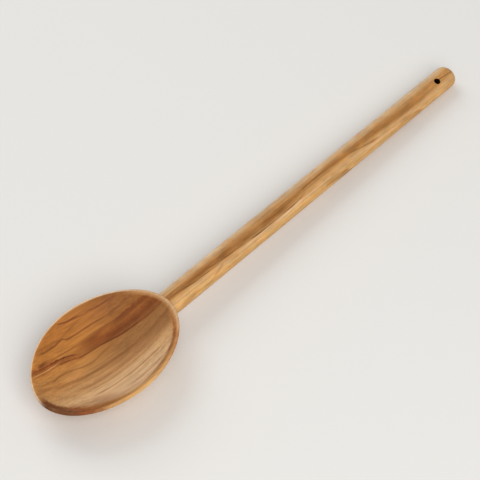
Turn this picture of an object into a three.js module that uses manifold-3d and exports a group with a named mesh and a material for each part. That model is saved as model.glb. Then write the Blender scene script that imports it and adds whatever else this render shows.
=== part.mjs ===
// A wooden cooking spoon: a hollowed oval bowl and a long straight handle tenoned into its heel.
// Millimetres, +Z up. X runs along the spoon, from the bowl's tip to the handle's end, and the spoon
// lies as it does on a worktop: on the small flat under its bowl and on the end of its handle.

import * as THREE from 'three';
import { mergeVertices } from 'three/addons/utils/BufferGeometryUtils.js';
import Module from 'manifold-3d';

// The whole spoon
const TOTAL_LENGTH = 300;

// The bowl, seen from above
const BOWL_LENGTH = 82;
const BOWL_WIDTH = 58.6;
const TIP_FULLNESS = 0.031; // share of the width that the tip half gains and the heel half loses
const SHOULDER_EXPONENT = 1.043; // 1 is a true oval, more draws its four shoulders in

// The bowl, seen from the side
const BOWL_HEIGHT = 20; // from the worktop to the highest part of the rim, halfway along each side
const TIP_DROP = 4; // the rim's tip below that height
const HEEL_DROP = 1; // the rim's heel below that height
const FOOT_WIDTH = 14; // the flat under the bowl
const BELLY_WIDTH = 34; // fullness of the bowl's outside, low down
const WALL_LEAN = 3.4; // how far the outer wall leans out below the lip...
const WALL_CURVE = 6; // ...over this height

// The hollow and the lip round it
const HOLLOW_DEPTH = 12.8;
const FLOOR_WIDTH = 23; // fullness of the hollow's floor
const HOLLOW_LEAN = 6.4; // how far the inner wall leans in below the lip...
const HOLLOW_CURVE = 7.8; // ...over this height
const LIP_ROUND = 0.7; // radius of the lip's outer edge
const LIP_CREST = 0.2; // level top of the lip, between its two edges
const LIP_EASING = 0.8; // radius of the lip's softer inner edge

// The thicker wood of the bowl's heel, which holds the handle
const HEEL_RAMP = 8; // how much further the hollow leans in there, over its full depth
const HEEL_BULGE = 10; // how much further the outside stands out there, over its full height
const HEEL_SPREAD = 6; // how closely that wood keeps to the handle: more is narrower

// The handle
const HANDLE_WIDTH_AT_BOWL = 13.6;
const HANDLE_HEIGHT_AT_BOWL = 10.8;
const HANDLE_WIDTH_AT_END = 12.3;
const HANDLE_HEIGHT_AT_END = 11.2;
const RIM_STEP = 0.35; // the rim's heel above the handle's top
const END_ROUND = 4.6; // length of the rounded end
const HANG_HOLE_DIAMETER = 3.3;
const HANG_HOLE_INSET = 13.9; // from the hole's centre to the handle's end
const HANG_HOLE_TURN = 20; // degrees round the handle, from upright towards -Y

// The joint between them
const TENON_DIAMETER = 5;
const TENON_DROP = 1.6; // the tenon's axis below the handle's
const SOCKET_COVER = 1.6; // least wood left between the socket and the hollow
const JOINT_GAP = 0.3; // glue gap all round the joint

// Smoothness of the round forms
const BOWL_SEGMENTS = 64;
const HANDLE_SEGMENTS = 32;
const HOLE_SEGMENTS = 24;
const WALL_STEPS = 12;
const LIP_STEPS = 2;
const SHAFT_STEPS = 6;
const END_STEPS = 7;
const LIP_EVENNESS = 6; // how sharply the bowl's stretch along X levels off, to keep the lip's width even

// How far the two walls lean from upright just below the lip
const outerLean = Math.atan2(WALL_LEAN, WALL_CURVE);
const innerLean = Math.atan2(HOLLOW_LEAN, HOLLOW_CURVE);

const wasm = await Module();
wasm.setup();

/** A closed geometry as a solid that can be joined and cut. */
function solidOf(geometry) {
  const bare = geometry.clone();
  bare.deleteAttribute('normal');
  bare.deleteAttribute('uv');
  const merged = mergeVertices(bare);
  const corners = merged.index.array;
  const triVerts = [];
  for (let i = 0; i < corners.length; i += 3) {
    const [a, b, c] = corners.slice(i, i + 3);
    if (a !== b && b !== c && c !== a) triVerts.push(a, b, c);
  }
  return new wasm.Manifold(
    new wasm.Mesh({
      numProp: 3,
      vertProperties: merged.attributes.position.array,
      triVerts: new Uint32Array(triVerts),
    }),
  );
}

/** A joined or cut solid as a geometry. */
function geometryOf(solid) {
  const { vertProperties, triVerts } = solid.getMesh();
  const geometry = new THREE.BufferGeometry();
  geometry.setAttribute('position', new THREE.BufferAttribute(vertProperties, 3));
  geometry.setIndex(new THREE.BufferAttribute(triVerts, 1));
  geometry.computeVertexNormals();
  return geometry;
}

/** Half of the bowl's outside, cut across its middle: from the foot's centre to the lip's outer edge. */
function outsideProfile(grow = 0) {
  const round = LIP_ROUND + grow;
  const side = BOWL_WIDTH / 2 - LIP_ROUND + round * Math.cos(outerLean);
  const edge = BOWL_HEIGHT - LIP_ROUND - round * Math.sin(outerLean);
  const path = new THREE.Path();
  path.moveTo(0, -grow);
  path.lineTo(FOOT_WIDTH / 2, -grow);
  path.bezierCurveTo(BELLY_WIDTH / 2 + grow, -grow, side - WALL_LEAN, edge - WALL_CURVE, side, edge);
  return path;
}

/** The lip's outer edge, rounded from the outer wall to the crest. */
function outerEdge() {
  const side = BOWL_WIDTH / 2 - LIP_ROUND;
  const edge = BOWL_HEIGHT - LIP_ROUND;
  const lip = new THREE.Path();
  lip.absarc(side, edge, LIP_ROUND, -outerLean, 0);
  lip.absarc(side, edge, LIP_ROUND, 0, Math.PI / 2);
  return lip;
}

/** The lip's inner edge, rounded from the crest to the inner wall. */
function innerEdge() {
  const crest = BOWL_WIDTH / 2 - LIP_ROUND - LIP_CREST;
  const lip = new THREE.Path();
  lip.absarc(crest, BOWL_HEIGHT - LIP_EASING, LIP_EASING, Math.PI / 2, Math.PI - innerLean);
  return lip;
}

/** Half of the hollow, from the lip's inner edge to the middle of the floor. */
function hollowProfile() {
  const crest = BOWL_WIDTH / 2 - LIP_ROUND - LIP_CREST;
  const inside = crest - LIP_EASING * Math.cos(innerLean);
  const edge = BOWL_HEIGHT - LIP_EASING * (1 - Math.sin(innerLean));
  const floor = BOWL_HEIGHT - HOLLOW_DEPTH;
  const hollow = new THREE.Path();
  hollow.moveTo(inside, edge);
  hollow.bezierCurveTo(inside - HOLLOW_LEAN, edge - HOLLOW_CURVE, FLOOR_WIDTH / 2, floor, 0, floor);
  return hollow;
}

/** Turns a profile, draws it out into the bowl's plan, and bends its rim down at the tip and heel. */
function turnBowl(profile, hollowStart = profile.length) {
  const turning = new THREE.LatheGeometry(profile, BOWL_SEGMENTS).rotateX(Math.PI / 2);
  const position = turning.attributes.position;
  const stretch = (BOWL_LENGTH - BOWL_WIDTH) / 2;
  const edge = BOWL_HEIGHT - LIP_ROUND;
  const floor = BOWL_HEIGHT - HOLLOW_DEPTH;
  const drawnIn = (value) => Math.sign(value) * Math.abs(value) ** SHOULDER_EXPONENT;
  for (let i = 0; i < position.count; i += 1) {
    const radius = Math.hypot(position.getX(i), position.getY(i));
    const turn = Math.atan2(position.getY(i), position.getX(i));
    const height = position.getZ(i);
    const share = radius / (BOWL_WIDTH / 2);
    const depth = Math.max(0, edge - height);
    const inHollow = i % profile.length >= hollowStart;
    const swell = inHollow ? -HEEL_RAMP * (depth / (edge - floor)) : HEEL_BULGE * (depth / edge);
    const heel = swell * share * Math.max(0, Math.cos(turn)) ** HEEL_SPREAD;
    const reach = radius + stretch * share * (1 + (1 - share ** LIP_EVENNESS) / LIP_EVENNESS);
    const along = reach * drawnIn(Math.cos(turn)) + heel;
    const across = radius * drawnIn(Math.sin(turn)) * (1 - TIP_FULLNESS * Math.cos(turn));
    const drop = along > 0 ? HEEL_DROP : TIP_DROP;
    const bend = drop * (along / (BOWL_LENGTH / 2)) ** 2;
    position.setXYZ(i, along, across, height * (1 - bend / BOWL_HEIGHT));
  }
  return turning;
}

/** The hollowed bowl about its own middle, before its socket is cut. */
function plainBowl() {
  const outside = outsideProfile().getPoints(WALL_STEPS).slice(0, -1);
  const outerLip = outerEdge().getPoints(LIP_STEPS);
  const innerLip = innerEdge().getPoints(LIP_STEPS).slice(0, -1);
  const hollow = hollowProfile().getPoints(WALL_STEPS);
  const shell = [...outside, ...outerLip];
  return turnBowl([...shell, ...innerLip, ...hollow], shell.length);
}

/** The space that the handle keeps clear of: the bowl's outside, a glue gap larger and carried upwards. */
function shoulderSpace() {
  const path = outsideProfile(JOINT_GAP);
  const top = BOWL_HEIGHT + HANDLE_HEIGHT_AT_BOWL;
  path.lineTo(BOWL_WIDTH / 2 + JOINT_GAP, BOWL_HEIGHT - LIP_ROUND);
  path.lineTo(BOWL_WIDTH / 2 + JOINT_GAP, top);
  path.lineTo(0, top);
  return turnBowl(path.getPoints(WALL_STEPS));
}

// The handle's frame has its X along the handle, from the bowl's heel to the handle's end. The handle
// droops just enough for its end to lie on the worktop.
const bowlX = (BOWL_LENGTH - TOTAL_LENGTH) / 2;
const heelX = bowlX + BOWL_LENGTH / 2;
const seatHeight = BOWL_HEIGHT - HEEL_DROP - RIM_STEP - HANDLE_HEIGHT_AT_BOWL / 2;
const endHeight = HANDLE_HEIGHT_AT_END / 2;
const handleReach = TOTAL_LENGTH / 2 - heelX;
const droop = Math.atan2(seatHeight - endHeight, handleReach - END_ROUND);
const handleLength = handleReach / Math.cos(droop);
const bowlFrame = new THREE.Matrix4().makeTranslation(bowlX, 0, 0);
const handleFrame = new THREE.Matrix4().makeRotationY(droop).setPosition(heelX, 0, seatHeight);
const bowlFromHandle = bowlFrame.clone().invert().multiply(handleFrame);
const handleFromBowl = bowlFromHandle.clone().invert();

/** The full stick, from inside the bowl to its rounded end: a tapered turning, flattened to an oval. */
function handleStick() {
  const roundStart = handleLength - END_ROUND;
  const stick = new THREE.Path();
  stick.moveTo(0, -BOWL_LENGTH / 2);
  stick.lineTo(HANDLE_WIDTH_AT_BOWL / 2, -BOWL_LENGTH / 2);
  const shaft = new THREE.LineCurve(
    new THREE.Vector2(HANDLE_WIDTH_AT_BOWL / 2, 0),
    new THREE.Vector2(HANDLE_WIDTH_AT_END / 2, roundStart),
  );
  const end = new THREE.EllipseCurve(0, roundStart, HANDLE_WIDTH_AT_END / 2, END_ROUND, 0, Math.PI / 2);
  const shaftPoints = shaft.getPoints(SHAFT_STEPS).slice(0, -1);
  const profile = [...stick.getPoints(), ...shaftPoints, ...end.getPoints(END_STEPS)];
  profile[profile.length - 1].x = 0;
  const turning = new THREE.LatheGeometry(profile, HANDLE_SEGMENTS).rotateZ(-Math.PI / 2);
  const position = turning.attributes.position;
  const flatAtBowl = HANDLE_HEIGHT_AT_BOWL / HANDLE_WIDTH_AT_BOWL;
  const flatAtEnd = HANDLE_HEIGHT_AT_END / HANDLE_WIDTH_AT_END;
  for (let i = 0; i < position.count; i += 1) {
    const share = THREE.MathUtils.clamp(position.getX(i) / roundStart, 0, 1);
    position.setZ(i, position.getZ(i) * THREE.MathUtils.lerp(flatAtBowl, flatAtEnd, share));
  }
  return turning;
}

/** A round rod along the handle, on the tenon's axis. */
function tenonRod(diameter, fromX, toX) {
  const rod = new THREE.CylinderGeometry(diameter / 2, diameter / 2, toX - fromX, HOLE_SEGMENTS);
  return rod.rotateZ(-Math.PI / 2).translate((fromX + toX) / 2, 0, -TENON_DROP);
}

/** Where the socket ends on the handle's X: short of the hollow along its top, where wood is thinnest. */
function socketEnd(bowl, socketDiameter) {
  const top = new THREE.Vector3(HANDLE_WIDTH_AT_BOWL, 0, socketDiameter / 2 - TENON_DROP);
  const inward = new THREE.Vector3(-1, 0, 0).transformDirection(bowlFromHandle);
  const ray = new THREE.Raycaster(top.clone().applyMatrix4(bowlFromHandle), inward);
  const probe = new THREE.Mesh(bowl, new THREE.MeshBasicMaterial({ side: THREE.DoubleSide }));
  const [, innerWall] = ray.intersectObject(probe);
  return top.x - innerWall.distance + SOCKET_COVER;
}

/** The hang hole's drill, through the handle's axis. */
function hangHole() {
  const drill = new THREE.CylinderGeometry(
    HANG_HOLE_DIAMETER / 2,
    HANG_HOLE_DIAMETER / 2,
    2 * HANDLE_HEIGHT_AT_END,
    HOLE_SEGMENTS,
  );
  const upright = Math.PI / 2;
  drill.rotateX(upright + THREE.MathUtils.degToRad(HANG_HOLE_TURN));
  return drill.translate(handleLength - HANG_HOLE_INSET, 0, 0);
}

const wood = (color) => new THREE.MeshStandardMaterial({ color, roughness: 0.55, metalness: 0 });
const socketDiameter = TENON_DIAMETER + 2 * JOINT_GAP;
const blank = plainBowl();
const socketX = socketEnd(blank, socketDiameter);

const socket = tenonRod(socketDiameter, socketX, HANDLE_WIDTH_AT_BOWL).applyMatrix4(bowlFromHandle);
const bowl = new THREE.Mesh(geometryOf(solidOf(blank).subtract(solidOf(socket))), wood(0xb27a42));
bowl.name = 'bowl';
bowl.applyMatrix4(bowlFrame);

const shoulder = shoulderSpace().applyMatrix4(handleFromBowl);
const tenon = tenonRod(TENON_DIAMETER, socketX + JOINT_GAP, HANDLE_WIDTH_AT_BOWL);
const shaped = solidOf(handleStick()).subtract(solidOf(shoulder)).add(solidOf(tenon));
const handle = new THREE.Mesh(geometryOf(shaped.subtract(solidOf(hangHole()))), wood(0xcf9f62));
handle.name = 'handle';
handle.applyMatrix4(handleFrame);

const spoon = new THREE.Group();
spoon.add(bowl, handle);

export default spoon;
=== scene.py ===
"""The looks of a wooden cooking spoon: an olive wood bowl and handle on a pale studio floor.

Everything is in metres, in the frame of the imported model: X along the spoon, Z up, the worktop at 0.
Only the woods' figure is in millimetres, from an origin in each piece.
"""

import functools
import logging
import math
from collections.abc import Iterable
from dataclasses import astuple, dataclass, field
from enum import Enum

import bmesh
import bpy
from mathutils import Matrix, Vector
from mathutils.bvhtree import BVHTree
from mathutils.geometry import interpolate_bezier

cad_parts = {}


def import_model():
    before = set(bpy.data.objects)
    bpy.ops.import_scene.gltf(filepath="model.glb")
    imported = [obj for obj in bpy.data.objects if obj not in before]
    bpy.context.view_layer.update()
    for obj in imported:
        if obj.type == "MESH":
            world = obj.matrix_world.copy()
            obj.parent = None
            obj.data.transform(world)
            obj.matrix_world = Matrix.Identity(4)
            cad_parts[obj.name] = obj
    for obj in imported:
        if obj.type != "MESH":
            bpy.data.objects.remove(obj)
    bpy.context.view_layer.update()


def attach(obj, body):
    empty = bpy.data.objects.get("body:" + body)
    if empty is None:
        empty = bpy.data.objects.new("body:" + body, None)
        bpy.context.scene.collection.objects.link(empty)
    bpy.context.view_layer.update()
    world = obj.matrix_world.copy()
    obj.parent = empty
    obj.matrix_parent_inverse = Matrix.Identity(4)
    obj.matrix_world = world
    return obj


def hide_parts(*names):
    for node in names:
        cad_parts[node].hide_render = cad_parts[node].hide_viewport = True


LOG = logging.getLogger("spoon")
MM = 0.001
MERGE_DISTANCE = 1e-7
SHARP_DEGREES = 40
NOISE_W_AND_SCALE = (0, 1)
WAVE_GAIN = 4
PATH_MARGIN = 1
SRGB_KNEE = 0.04045
SRGB_SLOPE = 12.92
SRGB_SHIFT = 0.055
SRGB_POWER = 2.4

Mesh = bmesh.types.BMesh
Vert = bmesh.types.BMVert
Piece = bpy.types.Object
NodeTree = bpy.types.NodeTree
Socket = bpy.types.NodeSocket
Number = float | Socket
Point = tuple[float, float, float]
Path = tuple[tuple[float, float], ...]
Tone = tuple[int, int, int]
Stops = tuple[tuple[float, Tone], ...]
Span = tuple[float, float]
Pair = tuple[Number, Number]
Names = tuple[str, ...]


class Node(Enum):
    """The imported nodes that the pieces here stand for."""

    BOWL = "bowl"
    HANDLE = "handle"


class Slot(Enum):
    """The record's material slots."""

    BOWL = "bowl_wood"
    HANDLE = "handle_wood"


class Blend(Enum):
    """How one colour is laid over another."""

    COVER = "MIX"
    SHADE = "MULTIPLY"


class Change(Enum):
    """How a value changes over a range."""

    EVEN = "LINEAR"
    SOFT = "SMOOTHSTEP"


def linear(tone: Tone) -> tuple[float, float, float, float]:
    """Turns a tone as it is seen on a screen into light.

    Args:
        tone: Red, green and blue from 0 to 255.

    Returns:
        The colour in linear light, with a full alpha.
    """
    light = []
    for share in (value / 255 for value in tone):
        curved = ((share + SRGB_SHIFT) / (1 + SRGB_SHIFT)) ** SRGB_POWER
        light.append(share / SRGB_SLOPE if share <= SRGB_KNEE else curved)
    return (*light, 1.0)


def signed_power(value: float, exponent: float) -> float:
    """Raises a value's size to a power and keeps its sign."""
    return math.copysign(abs(value) ** exponent, value)


def turn(bm: Mesh, points: Iterable[Vector], axis: Vector, steps: int) -> list[Vert]:
    """Turns a profile into a full round form, as on a lathe.

    Args:
        bm: Mesh to add to.
        points: The profile's points in order.
        axis: The turning axis, through the origin.
        steps: Number of steps in the full turn.

    Returns:
        The new form's vertices, with those on the axis merged.
    """
    before = set(bm.verts)
    chain = [bm.verts.new(point) for point in points]
    edges = [bm.edges.new(pair) for pair in zip(chain, chain[1:])]
    bmesh.ops.spin(
        bm,
        geom=chain + edges,
        axis=axis,
        cent=(0, 0, 0),
        angle=math.tau,
        steps=steps,
        use_merge=True,
    )
    made = [vert for vert in bm.verts if vert not in before]
    bmesh.ops.remove_doubles(bm, verts=made, dist=MERGE_DISTANCE)
    return [vert for vert in bm.verts if vert not in before]


def make_piece(bm: Mesh, name: str) -> Piece:
    """Closes a mesh off as an object in the scene, smooth apart from its sharp edges.

    Args:
        bm: Finished mesh, which is freed.
        name: Name of the object and its mesh.

    Returns:
        The new object, at the origin.
    """
    bmesh.ops.recalc_face_normals(bm, faces=bm.faces[:])
    for face in bm.faces:
        face.smooth = True
    mesh = bpy.data.meshes.new(name)
    bm.to_mesh(mesh)
    bm.free()
    mesh.set_sharp_from_angle(angle=math.radians(SHARP_DEGREES))
    piece = bpy.data.objects.new(name, mesh)
    bpy.context.scene.collection.objects.link(piece)
    return piece


@dataclass
class Bowl:
    """The hollowed oval bowl with its thin lip and thick heel."""

    middle_x: float = -109 * MM
    length: float = 82 * MM
    width: float = 58.6 * MM
    tip_fullness: float = 0.031
    shoulder_exponent: float = 1.043
    height: float = 20 * MM
    tip_drop: float = 4 * MM
    heel_drop: float = 1 * MM
    foot_width: float = 14 * MM
    belly_width: float = 34 * MM
    wall_lean: float = 3.4 * MM
    wall_curve: float = 6 * MM
    hollow_depth: float = 12.8 * MM
    floor_width: float = 23 * MM
    hollow_lean: float = 6.4 * MM
    hollow_curve: float = 7.8 * MM
    lip_round: float = 0.7 * MM
    lip_crest: float = 0.2 * MM
    lip_easing: float = 0.8 * MM
    heel_ramp: float = 8 * MM
    heel_bulge: float = 10 * MM
    heel_spread: float = 6
    lip_evenness: float = 6
    steps: int = 192
    foot_rings: int = 4
    wall_points: int = 40
    lip_points: int = 8

    @property
    def lip_edge(self) -> float:
        """Height at which the lip's rounding starts, halfway along each side."""
        return self.height - self.lip_round

    @property
    def floor(self) -> float:
        """Height of the hollow's floor."""
        return self.height - self.hollow_depth

    def arc(self, across: float, high: float, radius: float, start: float, end: float) -> list[Vector]:
        """Points on a rounding of the half section, from one angle to another about its centre."""
        angles = [start + (end - start) * step / self.lip_points for step in range(self.lip_points + 1)]
        return [Vector((across + radius * math.cos(a), 0, high + radius * math.sin(a))) for a in angles]

    def outside_profile(self) -> list[Vector]:
        """Draws half of the outside.

        Returns:
            Its points, from the foot's centre to the lip's crest.
        """
        lean = math.atan2(self.wall_lean, self.wall_curve)
        centre = self.width / 2 - self.lip_round
        tuck = self.arc(centre, self.lip_edge, self.lip_round, -lean, 0)
        crest = self.arc(centre, self.lip_edge, self.lip_round, 0, math.pi / 2)
        foot = Vector((self.foot_width / 2, 0, 0))
        belly = Vector((self.belly_width / 2, 0, 0))
        wall = tuck[0] - Vector((self.wall_lean, 0, self.wall_curve))
        points = [foot * (ring / self.foot_rings) for ring in range(self.foot_rings)]
        points += interpolate_bezier(foot, belly, wall, tuck[0], self.wall_points)
        return points + tuck[1:] + crest[1:]

    def hollow_profile(self) -> list[Vector]:
        """Draws half of the hollow.

        Returns:
            Its points, from the lip's crest to the middle of the floor.
        """
        lean = math.atan2(self.hollow_lean, self.hollow_curve)
        centre = self.width / 2 - self.lip_round - self.lip_crest
        ease = self.arc(centre, self.height - self.lip_easing, self.lip_easing, math.pi / 2, math.pi - lean)
        wall = ease[-1] - Vector((self.hollow_lean, 0, self.hollow_curve))
        low = Vector((self.floor_width / 2, 0, self.floor))
        curve = interpolate_bezier(ease[-1], wall, low, Vector((0, 0, self.floor)), self.wall_points)
        crest = Vector((self.width / 2 - self.lip_round, 0, self.height))
        return [crest] + ease + curve[1:]

    def draw_out(self, verts: Iterable[Vert], in_hollow: bool) -> None:
        """Draws a turning out into the bowl's plan, thickens its heel and bends its rim down.

        Args:
            verts: The turning's vertices, about the Z axis.
            in_hollow: Whether they belong to the hollow.
        """
        stretch = (self.length - self.width) / 2
        for vert in verts:
            radius = vert.co.xy.length
            angle = math.atan2(vert.co.y, vert.co.x)
            share = radius / (self.width / 2)
            depth = max(0.0, self.lip_edge - vert.co.z)
            swell = self.heel_bulge * depth / self.lip_edge
            if in_hollow:
                swell = -self.heel_ramp * depth / (self.lip_edge - self.floor)
            heel = swell * share * max(0.0, math.cos(angle)) ** self.heel_spread
            evenness = (1 - share**self.lip_evenness) / self.lip_evenness
            reach = radius + stretch * share * (1 + evenness)
            along = reach * signed_power(math.cos(angle), self.shoulder_exponent) + heel
            across = radius * signed_power(math.sin(angle), self.shoulder_exponent)
            across *= 1 - self.tip_fullness * math.cos(angle)
            drop = self.heel_drop if along > 0 else self.tip_drop
            bend = drop * (along / (self.length / 2)) ** 2
            vert.co = (along + self.middle_x, across, vert.co.z * (1 - bend / self.height))

    def shell(self) -> Mesh:
        """Models the whole bowl before its socket is cut.

        Returns:
            The bowl's mesh.
        """
        bm = bmesh.new()
        upright = Vector((0, 0, 1))
        outer = turn(bm, self.outside_profile(), upright, self.steps)
        self.draw_out(outer, in_hollow=False)
        inner = turn(bm, self.hollow_profile(), upright, self.steps)
        self.draw_out(inner, in_hollow=True)
        bmesh.ops.remove_doubles(bm, verts=bm.verts[:], dist=MERGE_DISTANCE)
        bmesh.ops.recalc_face_normals(bm, faces=bm.faces[:])
        return bm

    def build(self, socket: Piece) -> Piece:
        """Models the bowl and cuts the tenon's socket into its heel.

        Args:
            socket: Rod that fills the socket, which is removed.

        Returns:
            The bowl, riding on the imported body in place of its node.
        """
        piece = make_piece(self.shell(), "spoon_bowl")
        cut = piece.modifiers.new("socket", "BOOLEAN")
        cut.operation = "DIFFERENCE"
        cut.solver = "EXACT"
        cut.object = socket
        ready = piece.evaluated_get(bpy.context.evaluated_depsgraph_get())
        mesh = bpy.data.meshes.new_from_object(ready)
        piece.modifiers.clear()
        piece.data = mesh
        mesh.set_sharp_from_angle(angle=math.radians(SHARP_DEGREES))
        bpy.data.objects.remove(socket)
        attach(piece, "root")
        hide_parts(Node.BOWL.value)
        return piece


@dataclass
class Handle:
    """The long oval handle with its coped shoulder, tenon, rounded end and hang hole."""

    heel_x: float = -68 * MM
    end_x: float = 150 * MM
    width_at_bowl: float = 13.6 * MM
    height_at_bowl: float = 10.8 * MM
    width_at_end: float = 12.3 * MM
    height_at_end: float = 11.2 * MM
    top_at_bowl: float = 18.65 * MM
    end_round: float = 4.6 * MM
    hole_diameter: float = 3.3 * MM
    hole_inset: float = 13.9 * MM
    hole_turn: float = math.radians(20)
    hole_easing: float = 0.35 * MM
    tenon_diameter: float = 5 * MM
    tenon_drop: float = 1.6 * MM
    tenon_end: float = -7.49 * MM
    tenon_chamfer: float = 0.4 * MM
    tenon_tip_share: float = 0.84
    joint_gap: float = 0.3 * MM
    cope_reach: float = 16 * MM
    probe_start: float = 20 * MM
    top_easing: float = 0.55 * MM
    side_easing: float = 0.15 * MM
    easing_rings: tuple[float, ...] = (0, 0.08, 0.25, 0.5, 0.75, 1.0, 1.6)
    shoulder_rings: tuple[float, ...] = (2, 3.5, 5.5, 8, 11, 14, 17)
    shaft_rings: int = 26
    end_rings: int = 14
    segments: int = 64
    hole_cells: int = 6
    hole_margin: int = 3
    easing_steps: int = 4

    @property
    def seat(self) -> float:
        """Height of the handle's axis where it meets the bowl."""
        return self.top_at_bowl - self.height_at_bowl / 2

    @property
    def droop(self) -> float:
        """Angle by which the handle falls towards its end, which lies on the worktop."""
        reach = self.end_x - self.heel_x - self.end_round
        return math.atan2(self.seat - self.height_at_end / 2, reach)

    @property
    def reach(self) -> float:
        """Length along the handle's own axis, from the bowl's heel to its end."""
        return (self.end_x - self.heel_x) / math.cos(self.droop)

    @property
    def round_start(self) -> float:
        """Place along the handle where its end starts to round off."""
        return self.reach - self.end_round

    @property
    def place(self) -> Matrix:
        """Takes the handle's own frame, with X along it, to the spoon's."""
        at = Matrix.Translation((self.heel_x, 0, self.seat))
        return at @ Matrix.Rotation(self.droop, 4, "Y")

    @property
    def hole_along(self) -> float:
        """Place of the hang hole along the handle."""
        return self.reach - self.hole_inset

    @property
    def hole_upright(self) -> Vector:
        """Direction of the hang hole, in the handle's own frame."""
        return Vector((0, -math.sin(self.hole_turn), math.cos(self.hole_turn)))

    @property
    def hole_cell(self) -> float:
        """Side of the square mesh cells that the hang hole is cut from."""
        around = math.tau / self.segments * (self.hole_cells / 2)
        return self.half_width(self.hole_along) * math.sin(around) / (self.hole_cells / 2)

    def half_width(self, along: float) -> float:
        """Measures half of the handle's width.

        Args:
            along: The place along the handle.

        Returns:
            Half of its width there.
        """
        start = self.round_start
        share = min(max(along / start, 0.0), 1.0)
        half = (self.width_at_bowl + (self.width_at_end - self.width_at_bowl) * share) / 2
        past = max(0.0, along - start) / self.end_round
        return half * math.sqrt(max(0.0, 1 - past * past))

    def flatness(self, along: float) -> float:
        """Measures how flat the handle's oval is.

        Args:
            along: The place along the handle.

        Returns:
            Its height over its width there.
        """
        share = min(max(along / self.round_start, 0.0), 1.0)
        at_bowl = self.height_at_bowl / self.width_at_bowl
        return at_bowl + (self.height_at_end / self.width_at_end - at_bowl) * share

    def stations(self) -> list[float]:
        """Sets out the rings of the handle's mesh.

        Returns:
            Their places along the handle, from the shoulder to the end.
        """
        shoulder = [self.top_easing * share for share in self.easing_rings]
        shoulder += [ring * MM for ring in self.shoulder_rings]
        cells = self.hole_cells // 2 + self.hole_margin
        hole = [self.hole_along + self.hole_cell * step for step in range(-cells, cells + 1)]
        gap = (hole[0] - shoulder[-1]) / self.shaft_rings
        shaft = [shoulder[-1] + gap * step for step in range(1, self.shaft_rings)]
        turns = [math.pi / 2 * step / self.end_rings for step in range(self.end_rings + 1)]
        end = [self.round_start + self.end_round * math.sin(angle) for angle in turns]
        return shoulder + shaft + hole + end

    def stick(self) -> Mesh:
        """Turns the stick and flattens it to its oval.

        Returns:
            The stick's mesh, in the handle's own frame.
        """
        bm = bmesh.new()
        upright = self.hole_upright
        profile = [upright * self.half_width(along) + Vector((along, 0, 0)) for along in self.stations()]
        turn(bm, profile, Vector((1, 0, 0)), self.segments)
        for vert in bm.verts:
            vert.co.z *= self.flatness(vert.co.x)
        return bm

    def squared(self, point: Vector) -> Point:
        """Finds how a point of the stick lies about the hang hole, with the stick made round.

        Args:
            point: The point, in the handle's own frame.

        Returns:
            How far along the handle it is, how far across the hole's axis, and how far up that axis.
        """
        high = point.z / self.flatness(point.x)
        sine, cosine = math.sin(self.hole_turn), math.cos(self.hole_turn)
        return point.x, point.y * cosine + high * sine, high * cosine - point.y * sine

    def on_oval(self, along: float, across: float, above: bool) -> Vector:
        """Finds the place on the stick's surface that lies over a spot of the hang hole's section.

        Args:
            along: The spot's place along the handle.
            across: Its place across the hole's axis.
            above: Whether the upper of the two places is meant.

        Returns:
            The place, in the handle's own frame.
        """
        sine, cosine = math.sin(self.hole_turn), math.cos(self.hole_turn)
        wide = self.half_width(along)
        high = wide * self.flatness(along)
        square = (sine / wide) ** 2 + (cosine / high) ** 2
        middle = across * sine * cosine * (1 / high**2 - 1 / wide**2)
        rest = (across * cosine / wide) ** 2 + (across * sine / high) ** 2 - 1
        root = math.sqrt(middle * middle - square * rest)
        up = (root - middle) / square if above else (-root - middle) / square
        return Vector((along, across * cosine - up * sine, across * sine + up * cosine))

    def drill(self, bm: Mesh) -> None:
        """Cuts the hang hole through the stick and eases its two edges.

        Args:
            bm: The stick's mesh, in the handle's own frame.
        """
        middle = self.hole_along
        half = self.hole_cell * self.hole_cells / 2
        radius = self.hole_diameter / 2
        inside = []
        for face in bm.faces:
            along, across, _ = self.squared(face.calc_center_median())
            if abs(along - middle) < half and abs(across) < half:
                inside.append(face)
        bmesh.ops.delete(bm, geom=inside, context="FACES")
        rims = [edge for edge in bm.edges if edge.is_boundary and edge.verts[0].co.x > middle / 2]
        for vert in {vert for edge in rims for vert in edge.verts}:
            along, across, high = self.squared(vert.co)
            angle = math.atan2(across, along - middle)
            spot = (middle + radius * math.cos(angle), radius * math.sin(angle))
            vert.co = self.on_oval(*spot, above=high > 0)
        bmesh.ops.bridge_loops(bm, edges=rims)
        bmesh.ops.bevel(
            bm,
            geom=rims,
            offset=self.hole_easing,
            offset_type="OFFSET",
            segments=self.easing_steps,
            profile=0.5,
            affect="EDGES",
            material=-1,
        )

    def shoulder_at(self, bowl: BVHTree, across: float, high: float) -> float:
        """Finds where a line along the handle meets the bowl's outside.

        Args:
            bowl: The bowl's surface, in the spoon's frame.
            across: The line's place across the handle.
            high: Its height over the handle's axis.

        Returns:
            The place along the handle, or 0 where the line misses the bowl.
        """
        place = self.place
        start = place @ Vector((self.probe_start, across, high))
        hit = bowl.ray_cast(start, place.to_3x3() @ Vector((-1, 0, 0)))[0]
        return (place.inverted() @ hit).x if hit else 0.0

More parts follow.
